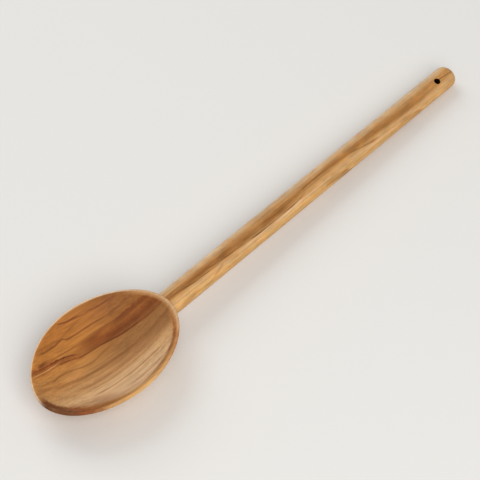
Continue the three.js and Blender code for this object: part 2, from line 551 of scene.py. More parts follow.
    def cope(self, bm: Mesh, bowl: BVHTree) -> None:
        """Fits the stick's shoulder to the bowl's outside and eases it.

        Args:
            bm: The drilled stick, in the handle's own frame.
            bowl: The bowl's surface, in the spoon's frame.
        """
        moved = [vert for vert in bm.verts if vert.co.x < self.cope_reach]
        for vert in moved:
            along = vert.co.x
            upward = max(0.0, vert.co.z / self.flatness(along) / self.half_width(along))
            easing = self.side_easing + (self.top_easing - self.side_easing) * upward**2
            short = max(0.0, 1 - along / easing)
            cut = easing * (1 - math.sqrt(max(0.0, 1 - short * short)))
            shrink = 1 - cut / vert.co.yz.length
            shoulder = self.shoulder_at(bowl, vert.co.y, vert.co.z)
            vert.co.y *= shrink
            vert.co.z *= shrink
            vert.co.x = along + shoulder * (1 - along / self.cope_reach)

    def add_tenon(self, bm: Mesh, bowl: BVHTree) -> None:
        """Closes the coped shoulder off with the tenon.

        Args:
            bm: The coped stick, in the handle's own frame.
            bowl: The bowl's surface, in the spoon's frame.
        """
        rim = [edge for edge in bm.edges if edge.is_boundary]
        chamfer = self.tenon_end + self.tenon_chamfer
        for share, along in ((1.0, None), (1.0, chamfer), (self.tenon_tip_share, self.tenon_end)):
            grown = bmesh.ops.extrude_edge_only(bm, edges=rim)["geom"]
            rim = [part for part in grown if isinstance(part, bmesh.types.BMEdge)]
            radius = self.tenon_diameter / 2 * share
            axis = 0.0 if along is None else -self.tenon_drop
            for vert in {vert for edge in rim for vert in edge.verts}:
                angle = math.atan2(vert.co.z - axis, vert.co.y)
                vert.co.y = radius * math.cos(angle)
                vert.co.z = radius * math.sin(angle) - self.tenon_drop
                vert.co.x = self.shoulder_at(bowl, vert.co.y, vert.co.z) if along is None else along
        bmesh.ops.holes_fill(bm, edges=rim, sides=0)

    def socket(self) -> Piece:
        """Models the rod that cuts the tenon's socket, a glue gap larger than the tenon.

        Returns:
            The rod, in its place in the spoon.
        """
        bm = bmesh.new()
        radius = self.tenon_diameter / 2 + self.joint_gap
        start = self.tenon_end - self.joint_gap
        corners = ((start, 0), (start, radius), (self.width_at_bowl, radius), (self.width_at_bowl, 0))
        profile = [Vector((along, 0, high)) for along, high in corners]
        turn(bm, profile, Vector((1, 0, 0)), self.segments)
        bmesh.ops.translate(bm, verts=bm.verts[:], vec=(0, 0, -self.tenon_drop))
        bmesh.ops.transform(bm, matrix=self.place, verts=bm.verts[:])
        return make_piece(bm, "socket_cutter")

    def build(self, bowl: BVHTree) -> Piece:
        """Models the handle against the bowl.

        Args:
            bowl: The bowl's surface, in the spoon's frame.

        Returns:
            The handle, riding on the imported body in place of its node.
        """
        bm = self.stick()
        self.drill(bm)
        self.cope(bm, bowl)
        self.add_tenon(bm, bowl)
        bmesh.ops.transform(bm, matrix=self.place, verts=bm.verts[:])
        piece = make_piece(bm, "spoon_handle")
        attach(piece, "root")
        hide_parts(Node.HANDLE.value)
        return piece


@dataclass
class Bench:
    """Adds nodes to one node tree and joins them up."""

    tree: NodeTree

    def feed(self, socket: Socket, value: object) -> None:
        """Links a socket into an input, or sets the input to a plain value.

        Args:
            socket: The input.
            value: A socket, number, vector or colour.
        """
        if isinstance(value, Socket):
            self.tree.links.new(value, socket)
        else:
            socket.default_value = value

    def node(self, kind: str, *values: object, **settings: object) -> bpy.types.Node:
        """Adds a node.

        Args:
            kind: The node's Blender type.
            *values: What its first inputs are fed, in order.
            **settings: Its properties.

        Returns:
            The new node.
        """
        made = self.tree.nodes.new(kind)
        for name, setting in settings.items():
            setattr(made, name, setting)
        for socket, value in zip(made.inputs, values):
            self.feed(socket, value)
        return made

    def group(self, tree: NodeTree, *values: object) -> list[Socket]:
        """Places a node group, fed in the order of its inputs, and gives its outputs."""
        return list(self.node("ShaderNodeGroup", *values, node_tree=tree).outputs)

    def math(self, operation: str, *values: Number) -> Socket:
        """Works out a number from others."""
        return self.node("ShaderNodeMath", *values, operation=operation).outputs[0]

    def vector_math(self, operation: str, *values: object) -> Socket:
        """Works out a vector from others."""
        return self.node("ShaderNodeVectorMath", *values, operation=operation).outputs[0]

    def vector(self, *values: Number) -> Socket:
        """Joins three numbers into a vector."""
        return self.node("ShaderNodeCombineXYZ", *values).outputs[0]

    def product(self, *values: Number) -> Socket:
        """Multiplies numbers together."""
        return functools.reduce(functools.partial(self.math, "MULTIPLY"), values)

    def remap(
        self, value: Number, ends: Pair, results: Span = (0, 1), change: Change = Change.EVEN
    ) -> Socket:
        """Takes one range of values to another, and holds what lies outside it at its ends."""
        made = self.node("ShaderNodeMapRange", value, *ends, *results, interpolation_type=change.value)
        return made.outputs[0]

    def ramp_up(self, value: Number, low: Number, high: Number) -> Socket:
        """A soft step from 0 at low to 1 at high."""
        return self.remap(value, (low, high), change=Change.SOFT)

    def spread(self, value: Number, low: float, high: float) -> Socket:
        """Spreads a value from 0 to 1 over another range."""
        return self.remap(value, (0, 1), (low, high))

    def tones(self, value: Socket, stops: Stops) -> Socket:
        """Gives a tone that changes with a value.

        Args:
            value: What the tone goes by.
            stops: Values in order, each with its tone.

        Returns:
            The tone.
        """
        low, high = stops[0][0], stops[-1][0]
        ramp = self.node("ShaderNodeValToRGB", self.remap(value, (low, high)))
        ramp.color_ramp.interpolation = "EASE"
        marks = ramp.color_ramp.elements
        while len(marks) < len(stops):
            marks.new(0.5)
        for mark, (where, tone) in zip(marks, stops):
            mark.position = (where - low) / (high - low)
            mark.color = linear(tone)
        return ramp.outputs["Color"]

    def mix(self, share: Number, first: object, second: object, blend: Blend = Blend.COVER) -> Socket:
        """Mixes two colours.

        Args:
            share: Share of the second colour.
            first: First colour or socket.
            second: Second colour or socket.
            blend: How the second is laid over the first.

        Returns:
            The mixed colour.
        """
        made = self.node("ShaderNodeMix", share, data_type="RGBA", blend_type=blend.value)
        # A mix of colours has them at inputs 6 and 7, and its result at output 2.
        self.feed(made.inputs[6], first)
        self.feed(made.inputs[7], second)
        return made.outputs[2]

    def tint(self, colour: Socket, tone: Tone, *shares: Number) -> Socket:
        """Lays a tone over a colour, as strongly as the product of some shares."""
        return self.mix(self.product(*shares), colour, linear(tone))

    def noise(
        self, place: Socket, cell: Pair, seed: Number, detail: float = 2, roughness: float = 0.5
    ) -> Socket:
        """Adds noise that is drawn out along the grain.

        Args:
            place: Where it is read, in millimetres.
            cell: Length and breadth of its cells.
            seed: Shift that gives another sample of it.
            detail: Its octaves.
            roughness: How strong the finer octaves are.

        Returns:
            The noise's value, about 0.5.
        """
        length, breadth = cell
        scaled = self.vector_math("DIVIDE", place, self.vector(length, breadth, breadth))
        shifted = self.vector_math("ADD", scaled, self.vector(seed, seed, seed))
        made = self.node("ShaderNodeTexNoise", shifted, *NOISE_W_AND_SCALE, detail, roughness)
        return made.outputs["Fac"]

    def wave(self, place: Socket, cell: Pair, seed: Number, detail: float) -> Socket:
        """Noise about 0, which mostly stays between -1 and 1."""
        noise = self.noise(place, cell, seed, detail)
        return self.math("MULTIPLY_ADD", noise, WAVE_GAIN, -WAVE_GAIN / 2)

    def place_from(self, origin: Point) -> Socket:
        """Where a shaded point lies in its piece from an origin, both in millimetres."""
        at = self.node("ShaderNodeTexCoord").outputs["Object"]
        return self.vector_math("SUBTRACT", self.vector_math("DIVIDE", at, (MM, MM, MM)), origin)


@dataclass
class WoodGroups:
    """The node groups that both woods share, built once.

    A cell is the length and breadth of noise, in millimetres, and a span is where a step starts and ends.
    """

    sway_detail: float = 1.5
    drift_cell: Span = (70, 7)
    drift_rings: float = 3
    ring_rise: float = 2.2
    ring_fall: Span = (1, 0.86)
    uneven_cell: Span = (45, 2)
    uneven_span: Span = (0.35, 0.62)
    coarse_cell: Span = (34, 0.9)
    coarse_detail: float = 3
    coarse_roughness: float = 0.62
    coarse_share: float = 0.65
    fine_cell: Span = (16, 0.28)
    fine_share: float = 0.35
    fibre_span: Span = (0.32, 0.68)
    pore_cell: Span = (1.9, 0.14)
    pore_detail: float = 1
    pore_span: Span = (0.63, 0.74)
    sway: NodeTree = field(init=False)
    streak: NodeTree = field(init=False)
    fibre: NodeTree = field(init=False)

    def __post_init__(self) -> None:
        """Builds the groups."""
        self.sway = self._sway()
        self.streak = self._streak()
        self.fibre = self._fibre()

    @staticmethod
    def _start(name: str, takes: Names, gives: Names) -> tuple[Bench, list[Socket], list[Socket]]:
        """Starts a group with named sockets.

        Args:
            name: The group's name.
            takes: Its inputs, of which place is a vector and the others are numbers.
            gives: Its outputs, all numbers.

        Returns:
            A bench on the group, its input sockets and its output sockets.
        """
        tree = bpy.data.node_groups.new(name, "ShaderNodeTree")
        for label in takes:
            kind = "NodeSocketVector" if label == "place" else "NodeSocketFloat"
            tree.interface.new_socket(label, in_out="INPUT", socket_type=kind)
        for label in gives:
            tree.interface.new_socket(label, in_out="OUTPUT", socket_type="NodeSocketFloat")
        inputs = tree.nodes.new("NodeGroupInput").outputs
        outputs = tree.nodes.new("NodeGroupOutput").inputs
        return Bench(tree), inputs[: len(takes)], outputs[: len(gives)]

    def _sway(self) -> NodeTree:
        """Builds the group for the grain's sway.

        Returns:
            A group that gives how far the grain sways sideways, in millimetres.
        """
        takes = ("place", "length", "breadth", "amount", "seed")
        bench, given, (shift,) = self._start("grain_sway", takes, ("shift",))
        place, length, breadth, amount, seed = given
        wave = bench.wave(place, (length, breadth), seed, self.sway_detail)
        bench.feed(shift, bench.product(wave, amount))
        return bench.tree

    def _streak(self) -> NodeTree:
        """Builds the group for a streak.

        Returns:
            A group that gives the mask of one streak from the distance to its line.
        """
        takes = ("offset", "along", "below", "above", "soft_below", "soft_above")
        takes += ("start", "end", "start_fade", "end_fade")
        bench, given, (mask,) = self._start("grain_streak", takes, ("mask",))
        offset, along, below, above, soft_below, soft_above, start, end, start_fade, end_fade = given
        under = bench.product(below, -1)
        low = bench.ramp_up(offset, bench.math("SUBTRACT", under, soft_below), under)
        high = bench.ramp_up(offset, bench.math("ADD", above, soft_above), above)
        begun = bench.ramp_up(along, start, bench.math("ADD", start, start_fade))
        lasting = bench.ramp_up(along, end, bench.math("SUBTRACT", end, end_fade))
        bench.feed(mask, bench.product(low, high, begun, lasting))
        return bench.tree

    def _fibre(self) -> NodeTree:
        """Builds the group for the wood's fine figure.

        Returns:
            A group that gives rings, fibres and pores.
        """
        takes = ("place", "grain", "ring", "seed")
        bench, given, (rings, fibre, pores) = self._start("wood_fibre", takes, ("rings", "fibre", "pores"))
        place, grain, ring, seed = given
        shift = bench.product(bench.noise(place, self.drift_cell, seed), self.drift_rings)
        part = bench.math("FRACT", bench.math("ADD", bench.math("DIVIDE", grain, ring), shift))
        rise = bench.math("POWER", part, self.ring_rise)
        fall = bench.ramp_up(part, *self.ring_fall)
        uneven = bench.ramp_up(bench.noise(place, self.uneven_cell, seed), *self.uneven_span)
        bench.feed(rings, bench.product(rise, fall, uneven))
        coarse = bench.noise(place, self.coarse_cell, seed, self.coarse_detail, self.coarse_roughness)
        fine = bench.product(bench.noise(place, self.fine_cell, seed), self.fine_share)
        both = bench.math("MULTIPLY_ADD", coarse, self.coarse_share, fine)
        bench.feed(fibre, bench.ramp_up(both, *self.fibre_span))
        dots = bench.noise(place, self.pore_cell, seed, self.pore_detail)
        bench.feed(pores, bench.ramp_up(dots, *self.pore_span))
        return bench.tree


@dataclass(frozen=True)
class WoodPoint:
    """Where a shaded point lies in the wood, in millimetres, and the wood's fine figure there."""

    bench: Bench
    groups: WoodGroups
    place: Socket
    along: Socket
    across: Socket
    high: Socket
    side: Socket
    grain: Socket
    waves: list[Socket]
    patches: list[Socket]
    rings: Socket
    fibre: Socket
    pores: Socket


@dataclass(frozen=True)
class Breadth:
    """How far a streak reaches to each side of its line, in millimetres, and how softly it ends there."""

    below: float
    above: float
    soft_below: float
    soft_above: float


HAIRLINE = Breadth(0.06, 0.08, 0.28, 0.4)
LINE = Breadth(0.15, 0.2, 0.45, 0.6)
BAND = Breadth(0.5, 0.5, 0.9, 0.9)
HAZE = Breadth(1.4, 1.4, 2.2, 2.2)


@dataclass(frozen=True)
class Streak:
    """A darker or paler streak of wood or of painted shade: its line, in millimetres, its breadth and its
    tone.
    """

    path: Path
    tone: Tone
    strength: float = 0.6
    breadth: Breadth = LINE
    start_fade: float = 6
    end_fade: float = 6
    wander: float = 0.12
    ragged: float = 0.3
    patchy: float = 0.4

    def offset(self, point: WoodPoint) -> Socket:
        """Finds how far across the wood a point is from the streak's line.

        Args:
            point: The point.

        Returns:
            The distance, above 0 on the line's +Y side.
        """
        first, last = self.path[0][0], self.path[-1][0]
        low = min(side for _, side in self.path) - PATH_MARGIN
        high = max(side for _, side in self.path) + PATH_MARGIN
        curve = point.bench.node("ShaderNodeFloatCurve")
        knots = curve.mapping.curves[0].points
        while len(knots) < len(self.path):
            knots.new(0.5, 0.5)
        for knot, (along, side) in zip(knots, self.path):
            knot.location = ((along - first) / (last - first), (side - low) / (high - low))
        curve.mapping.update()
        point.bench.feed(curve.inputs["Value"], point.bench.remap(point.along, (first, last)))
        return point.bench.math("SUBTRACT", point.side, point.bench.spread(curve.outputs[0], low, high))

    def mask(self, point: WoodPoint, number: int) -> Socket:
        """Finds where and how strongly the streak shows.

        Args:
            point: The point.
            number: The streak's number, which picks the wave and patches that it goes by.

        Returns:
            The mask.
        """
        bench = point.bench
        wave = point.waves[number % len(point.waves)]
        offset = bench.math("MULTIPLY_ADD", wave, self.wander, self.offset(point))
        fray = bench.product(bench.math("SUBTRACT", point.fibre, 0.5), self.ragged)
        offset = bench.math("ADD", offset, fray)
        ends = (self.path[0][0], self.path[-1][0], self.start_fade, self.end_fade)
        (mask,) = bench.group(point.groups.streak, offset, point.along, *astuple(self.breadth), *ends)
        patches = point.patches[number % len(point.patches)]
        strength = bench.spread(patches, self.strength * (1 - self.patchy), self.strength)
        return bench.product(mask, strength)


@dataclass(frozen=True)
class Rim:
    """How the wood's tone changes along the bowl's lip, with painted shade and painted highlights.

    Sizes are in millimetres from the wood's origin, and a span is where a change starts and ends.
    """

    bowl: Bowl
    wall_slope: float = 1.3
    hollow_span: Span = (1.2, 0.8)
    tip_span: Span = (0, -24)
    rear_span: Span = (0, 30)
    near_skew: float = 0.14
    near_shift: float = 1.5
    near_span: Span = (2, -4)
    # Painted shade on the near inner wall, laid as a strip, with specks at the tip.
    shaded_strip_tones: Stops = (
        (-41, (98, 50, 18)),
        (-36, (114, 57, 20)),
        (-31, (150, 75, 26)),
        (-26, (170, 100, 42)),
        (-20, (172, 108, 46)),
        (-12, (198, 140, 72)),
        (-3, (216, 164, 92)),
        (5, (212, 156, 90)),
        (13, (194, 132, 70)),
        (23, (176, 108, 52)),
        (32, (184, 112, 54)),
        (40, (206, 146, 86)),
    )
    strip_strength: float = 0.95
    strip_thin: float = 0.2
    strip_bulge: Span = (4, -14)
    strip_reach: Span = (2.6, 5.2)
    strip_softness: Span = (1.8, 4.4)
    strip_fray: float = 0.4
    speck_tone: Tone = (80, 38, 18)
    speck_strength: float = 0.4
    speck_cell: Span = (1.6, 0.8)
    speck_seed: float = 90
    speck_detail: float = 3
    speck_span: Span = (0.36, 0.64)
    # A painted shadow line inside the near lip.
    shadow_line_tone: Tone = (120, 66, 30)
    shadow_line_strength: float = 0.5
    shadow_line_insets: Span = (4.2, 2.4)
    shadow_line_span: Span = (1.2, 0.2)
    shadow_line_start: Span = (-8, 6)
    shadow_line_gaps: float = 0.4
    # Painted highlights along the lip's edge: near, at the heel and far.
    near_highlight_tone: Tone = (230, 178, 114)
    near_highlight_strength: float = 0.55
    near_edge_span: Span = (3, 1.6)
    near_edge_start: Span = (-28, -20)
    near_edge_rear: float = 0.2
    heel_span: Span = (27, 36)
    heel_highlight_tone: Tone = (206, 152, 96)
    heel_highlight_strength: float = 0.7
    heel_edge_span: Span = (3.2, 1.8)
    far_highlight_tone: Tone = (238, 210, 174)
    far_highlight_strength: float = 0.82
    far_edge_span: Span = (1.45, 0.85)
    far_edge_depths: Span = (0.9, 0.4)
    far_edge_tip: float = 0.62
    far_edge_widening: Span = (26, 52)
    far_edge_heel: float = 0.35
    far_skew: float = 0.25
    far_span: Span = (-13, -1)


@dataclass(frozen=True)
class RimShade:
    """Works out a rim's painted shade and highlights at one point of the wood."""

    rim: Rim
    point: WoodPoint

    @functools.cached_property
    def lengthwise(self) -> Socket:
        """The point's place along the bowl, from -1 at the tip to 1 at the heel."""
        return self.point.bench.math("DIVIDE", self.point.along, self.rim.bowl.length / 2 / MM)

    @functools.cached_property
    def inset(self) -> Socket:
        """How far inside the bowl's outline the point lies.

        Returns:
            The distance, seen from above.
        """
        bowl, point, bench = self.rim.bowl, self.point, self.point.bench
        power = 2 / bowl.shoulder_exponent
        full = bench.math("MULTIPLY_ADD", self.lengthwise, -bowl.tip_fullness, 1)
        crosswise = bench.math("DIVIDE", point.across, bench.product(full, bowl.width / 2 / MM))
        sizes = [bench.math("ABSOLUTE", value) for value in (self.lengthwise, crosswise)]
        terms = [bench.math("POWER", size, power) for size in sizes]
        outline = bench.math("POWER", bench.math("ADD", *terms), 1 / power)
        squares = [bench.product(value, value) for value in (point.along, point.across)]
        radius = bench.math("SQRT", bench.math("ADD", *squares))
        return bench.product(radius, bench.math("SUBTRACT", bench.math("DIVIDE", 1, outline), 1))

    @functools.cached_property
    def depth(self) -> Socket:
        """How far the point lies below the lip.

        Returns:
            The distance from the lip's arched crest.
        """
        bowl, bench = self.rim.bowl, self.point.bench
        heelward = bench.math("GREATER_THAN", self.point.along, 0)
        drop = bench.spread(heelward, bowl.tip_drop / MM, bowl.heel_drop / MM)
        bend = bench.product(drop, self.lengthwise, self.lengthwise)
        return bench.math("SUBTRACT", bench.math("SUBTRACT", bowl.height / 2 / MM, bend), self.point.high)

    @functools.cached_property
    def hollow(self) -> Socket:
        """Whether the point lies in the hollow, and not on the outside."""
        wall = self.point.bench.math("MULTIPLY_ADD", self.inset, -self.rim.wall_slope, self.depth)
        return self.point.bench.ramp_up(wall, *self.rim.hollow_span)

    @functools.cached_property
    def tipward(self) -> Socket:
        """How near the point is to the tip."""
        return self.point.bench.ramp_up(self.point.along, *self.rim.tip_span)

    @functools.cached_property
    def rearward(self) -> Socket:
        """How far the point is behind the bowl's middle."""
        return self.point.bench.ramp_up(self.point.along, *self.rim.rear_span)

    @functools.cached_property
    def near(self) -> Socket:
        """Whether the point is on the near side of the hollow.

        Returns:
            1 there and 0 elsewhere, with a soft step between them.
        """
        rim, point, bench = self.rim, self.point, self.point.bench
        side = bench.math("MULTIPLY_ADD", point.along, rim.near_skew, point.across)
        side = bench.math("MULTIPLY_ADD", self.tipward, rim.near_shift, side)
        return bench.product(bench.ramp_up(side, *rim.near_span), self.hollow)

    def shaded_strip(self, colour: Socket) -> Socket:
        """Lays painted shade along the near wall, as a strip that is dark, broad and speckled at the tip.

        Args:
            colour: The wood's tone so far.

        Returns:
            The tone with the near wall's painted shade.
        """
        rim, point, bench = self.rim, self.point, self.point.bench
        near = self.near
        bulge = bench.product(self.tipward, bench.ramp_up(point.across, *rim.strip_bulge))
        reach = bench.spread(bulge, *rim.strip_reach)
        softness = bench.spread(bulge, *rim.strip_softness)
        specks = bench.noise(point.place, rim.speck_cell, rim.speck_seed, rim.speck_detail)
        specks = bench.ramp_up(specks, *rim.speck_span)
        fray = bench.product(bench.math("SUBTRACT", specks, 0.5), softness)
        inset = bench.math("MULTIPLY_ADD", fray, rim.strip_fray, self.inset)
        shaded_strip = bench.ramp_up(inset, bench.math("ADD", reach, softness), reach)
        tone = bench.tones(point.along, rim.shaded_strip_tones)
        tone = bench.mix(bench.spread(point.patches[0], rim.strip_thin, 0), tone, colour)
        tone = bench.tint(tone, rim.speck_tone, specks, self.tipward, rim.speck_strength)
        return bench.mix(bench.product(near, shaded_strip, rim.strip_strength), colour, tone)

    def shadow_line(self, colour: Socket) -> Socket:
        """Draws a painted shadow line inside the near lip.

        Args:
            colour: The wood's tone so far.

        Returns:
            The tone with the painted shadow line.
        """
        rim, point, bench = self.rim, self.point, self.point.bench
        offset = bench.math("SUBTRACT", self.inset, bench.spread(self.rearward, *rim.shadow_line_insets))
        line = bench.ramp_up(bench.math("ABSOLUTE", offset), *rim.shadow_line_span)
        begun = bench.ramp_up(point.along, *rim.shadow_line_start)
        patches = bench.spread(point.patches[2], rim.shadow_line_gaps, 1)
        return bench.tint(colour, rim.shadow_line_tone, line, self.near, begun, patches, rim.shadow_line_strength)

    def edges(self, colour: Socket) -> Socket:
        """Paints highlights on the lip's edge: golden near, tan at the heel and pale on the far side.

        Args:
            colour: The wood's tone so far.

        Returns:
            The tone with its painted highlights.
        """
        rim, point, bench = self.rim, self.point, self.point.bench
        edge = bench.ramp_up(self.inset, *rim.near_edge_span)
        begun = bench.ramp_up(point.along, *rim.near_edge_start)
        fade = bench.spread(self.rearward, 1, rim.near_edge_rear)
        shares = (edge, self.near, begun, fade, rim.near_highlight_strength)
        colour = bench.tint(colour, rim.near_highlight_tone, *shares)
        heel = bench.ramp_up(point.along, *rim.heel_span)
        edge = bench.ramp_up(self.inset, *rim.heel_edge_span)
        colour = bench.tint(colour, rim.heel_highlight_tone, heel, self.hollow, edge, rim.heel_highlight_strength)
        widening = bench.ramp_up(point.along, *rim.far_edge_widening)
        breadth = bench.math("ADD", bench.spread(self.tipward, 1, rim.far_edge_tip), widening)
        edge = bench.ramp_up(bench.math("DIVIDE", self.inset, breadth), *rim.far_edge_span)
        upper = bench.ramp_up(self.depth, *rim.far_edge_depths)
        far = bench.math("MULTIPLY_ADD", point.along, rim.far_skew, point.across)
        far = bench.ramp_up(far, *rim.far_span)
        fade = bench.spread(heel, 1, rim.far_edge_heel)
        return bench.tint(colour, rim.far_highlight_tone, edge, upper, far, fade, rim.far_highlight_strength)

    def tint(self, colour: Socket) -> Socket:
        """Paints shade and highlights along the lip."""
        return self.edges(self.shadow_line(self.shaded_strip(colour)))


@dataclass(frozen=True)
class HoleShade:
    """A drilled hole with painted shade on its wall: a place on its axis and the axis, in millimetres."""

    centre: Point
    axis: Point
    radius: float
    # Near black: painted shade deep in the hole.
    tone: Tone = (26, 12, 6)
    softness: float = 0.2

    def tint(self, bench: Bench, colour: Socket) -> Socket:
        """Paints shade on the hole's wall.

        Args:
            bench: The material's bench.
            colour: The wood's tone so far.

        Returns:
            The tone with the hole's painted shade.
        """
        cross = bench.vector_math("CROSS_PRODUCT", bench.place_from(self.centre), self.axis)
        distance = bench.node("ShaderNodeVectorMath", cross, operation="LENGTH").outputs["Value"]
        inside = bench.ramp_up(distance, self.radius + self.softness, self.radius)
        return bench.tint(colour, self.tone, inside)


@dataclass(frozen=True)
class OliveWood:
    """An oiled olive wood: its ground tones across the grain, its streaks and its sheen."""

    name: str
    slot: Slot
    origin: Point
    ground: Stops
    streaks: tuple[Streak, ...]
    rim: Rim | None = None
    hole: HoleShade | None = None
    lean: float = 0
    slope: float = 0
    drift: float = 0
    seed: float = 0
    seed_step: float = 7
    sway: float = 0.8
    sway_cell: Span = (55, 14)
    flutter: float = 0.12
    flutter_cell: Span = (13, 4)
    wave_cells: tuple[Span, ...] = ((16, 9), (20, 7))
    patch_lengths: tuple[float, ...] = (14, 10, 20)
    patch_breadth: float = 3
    patch_span: Span = (0.3, 0.6)
    ring: float = 2
    ring_tone: Tone = (122, 70, 30)
    ring_depth: float = 0.3
    fibre_depth: float = 0.17
    fibre_lift: float = 0.6
    pore_tone: Tone = (96, 52, 22)
    pore_depth: float = 0.2
    mottle: float = 0.08
    mottle_cell: Span = (8, 3.5)
    mottle_seed: float = 50
    blush: float = 0
    blush_tone: Tone = (224, 152, 78)
    blush_cell: Span = (4.5, 1.5)
    blush_span: Span = (0.46, 0.64)
    blush_seed: float = 70
    cloud_detail: float = 3
    gloss_low: float = 0.46
    gloss_high: float = 0.6
    specular: float = 0.15
    bump_strength: float = 0.1
    bump_depth: float = 0.05 * MM
    bump_fibre: float = 0.5

    def point(self, bench: Bench, groups: WoodGroups) -> WoodPoint:
        """Works out where in the wood a point lies.

        Args:
            bench: The material's bench.
            groups: The shared node groups.

        Returns:
            Where the point lies, with the waves and patches there that streaks wander and fade by.
        """
        parts = bench.node("ShaderNodeSeparateXYZ", bench.place_from(self.origin))
        along, across, high = parts.outputs
        level = bench.math("MULTIPLY_ADD", along, self.slope, high)
        side = bench.math("MULTIPLY_ADD", level, self.lean, across)
        grain = bench.math("MULTIPLY_ADD", along, self.drift, side)
        place = bench.vector(along, grain, level)
        sways = [(*self.sway_cell, self.sway), (*self.flutter_cell, self.flutter)]
        sways += [(*cell, 1) for cell in self.wave_cells]
        shifts = []
        for number, sway in enumerate(sways):
            shifts += bench.group(groups.sway, place, *sway, self.seed + self.seed_step * number)
        grain = bench.math("ADD", grain, bench.math("ADD", *shifts[:2]))
        side = bench.math("ADD", side, shifts[1])
        patches = []
        for length in self.patch_lengths:
            spots = bench.noise(place, (length, self.patch_breadth), self.seed + length)
            patches.append(bench.ramp_up(spots, *self.patch_span))
        figure = bench.group(groups.fibre, place, grain, self.ring, self.seed)
        at = (place, along, across, high, side, grain)
        return WoodPoint(bench, groups, *at, shifts[2:], patches, *figure)

    def tone(self, point: WoodPoint) -> Socket:
        """Lays the wood's tones over one another.

        Args:
            point: The point.

        Returns:
            The wood's tone there.
        """
        bench = point.bench
        colour = bench.tones(point.grain, self.ground)
        colour = bench.tint(colour, self.ring_tone, point.rings, self.ring_depth)
        if self.blush:
            seed = self.seed + self.blush_seed
            warmth = bench.noise(point.place, self.blush_cell, seed, self.cloud_detail)
            warmth = bench.ramp_up(warmth, *self.blush_span)
            colour = bench.tint(colour, self.blush_tone, warmth, self.blush)
        for number, streak in enumerate(self.streaks):
            colour = bench.tint(colour, streak.tone, streak.mask(point, number))
        # Painted shade and painted highlights along the bowl's lip.
        if self.rim:
            colour = RimShade(self.rim, point).tint(colour)
        # Painted shade in the hang hole.
        if self.hole:
            colour = self.hole.tint(bench, colour)
        cloud = bench.wave(point.place, self.mottle_cell, self.seed + self.mottle_seed, self.cloud_detail)
        shade = bench.spread(point.fibre, 1 - self.fibre_depth, 1 + self.fibre_depth * self.fibre_lift)
        shade = bench.math("MULTIPLY_ADD", cloud, self.mottle, shade)
        colour = bench.mix(1, colour, shade, Blend.SHADE)
        return bench.tint(colour, self.pore_tone, point.pores, self.pore_depth)

    def material(self, groups: WoodGroups) -> bpy.types.Material:
        """Builds the material.

        Args:
            groups: The shared node groups.

        Returns:
            The wood's material.
        """
        made = bpy.data.materials.new(self.name)
        made.use_nodes = True
        bench = Bench(made.node_tree)
        inputs = made.node_tree.nodes["Principled BSDF"].inputs
        point = self.point(bench, groups)
        bench.feed(inputs["Base Color"], self.tone(point))
        bench.feed(inputs["Roughness"], bench.spread(point.fibre, self.gloss_high, self.gloss_low))
        bench.feed(inputs["Specular IOR Level"], self.specular)
        relief = bench.math("SUBTRACT", bench.product(point.fibre, self.bump_fibre), point.pores)
        bump = bench.node("ShaderNodeBump", self.bump_strength, self.bump_depth)
        bench.feed(bump.inputs["Height"], relief)
        bench.feed(inputs["Normal"], bump.outputs["Normal"])
        return made

    def dress(self, piece: Piece, groups: WoodGroups) -> None:
        """Gives a piece this wood.

        Args:
            piece: The piece.
            groups: The shared node groups.
        """
        piece.data.materials.clear()
        piece.data.materials.append(self.material(groups))


DARK_BROWN: Tone = (108, 54, 22)
RED_BROWN: Tone = (134, 70, 30)
OLIVE_BROWN: Tone = (146, 90, 42)
TAN_BROWN: Tone = (154, 104, 60)
PALE_BROWN: Tone = (166, 118, 78)
PALE_CREAM: Tone = (230, 194, 148)

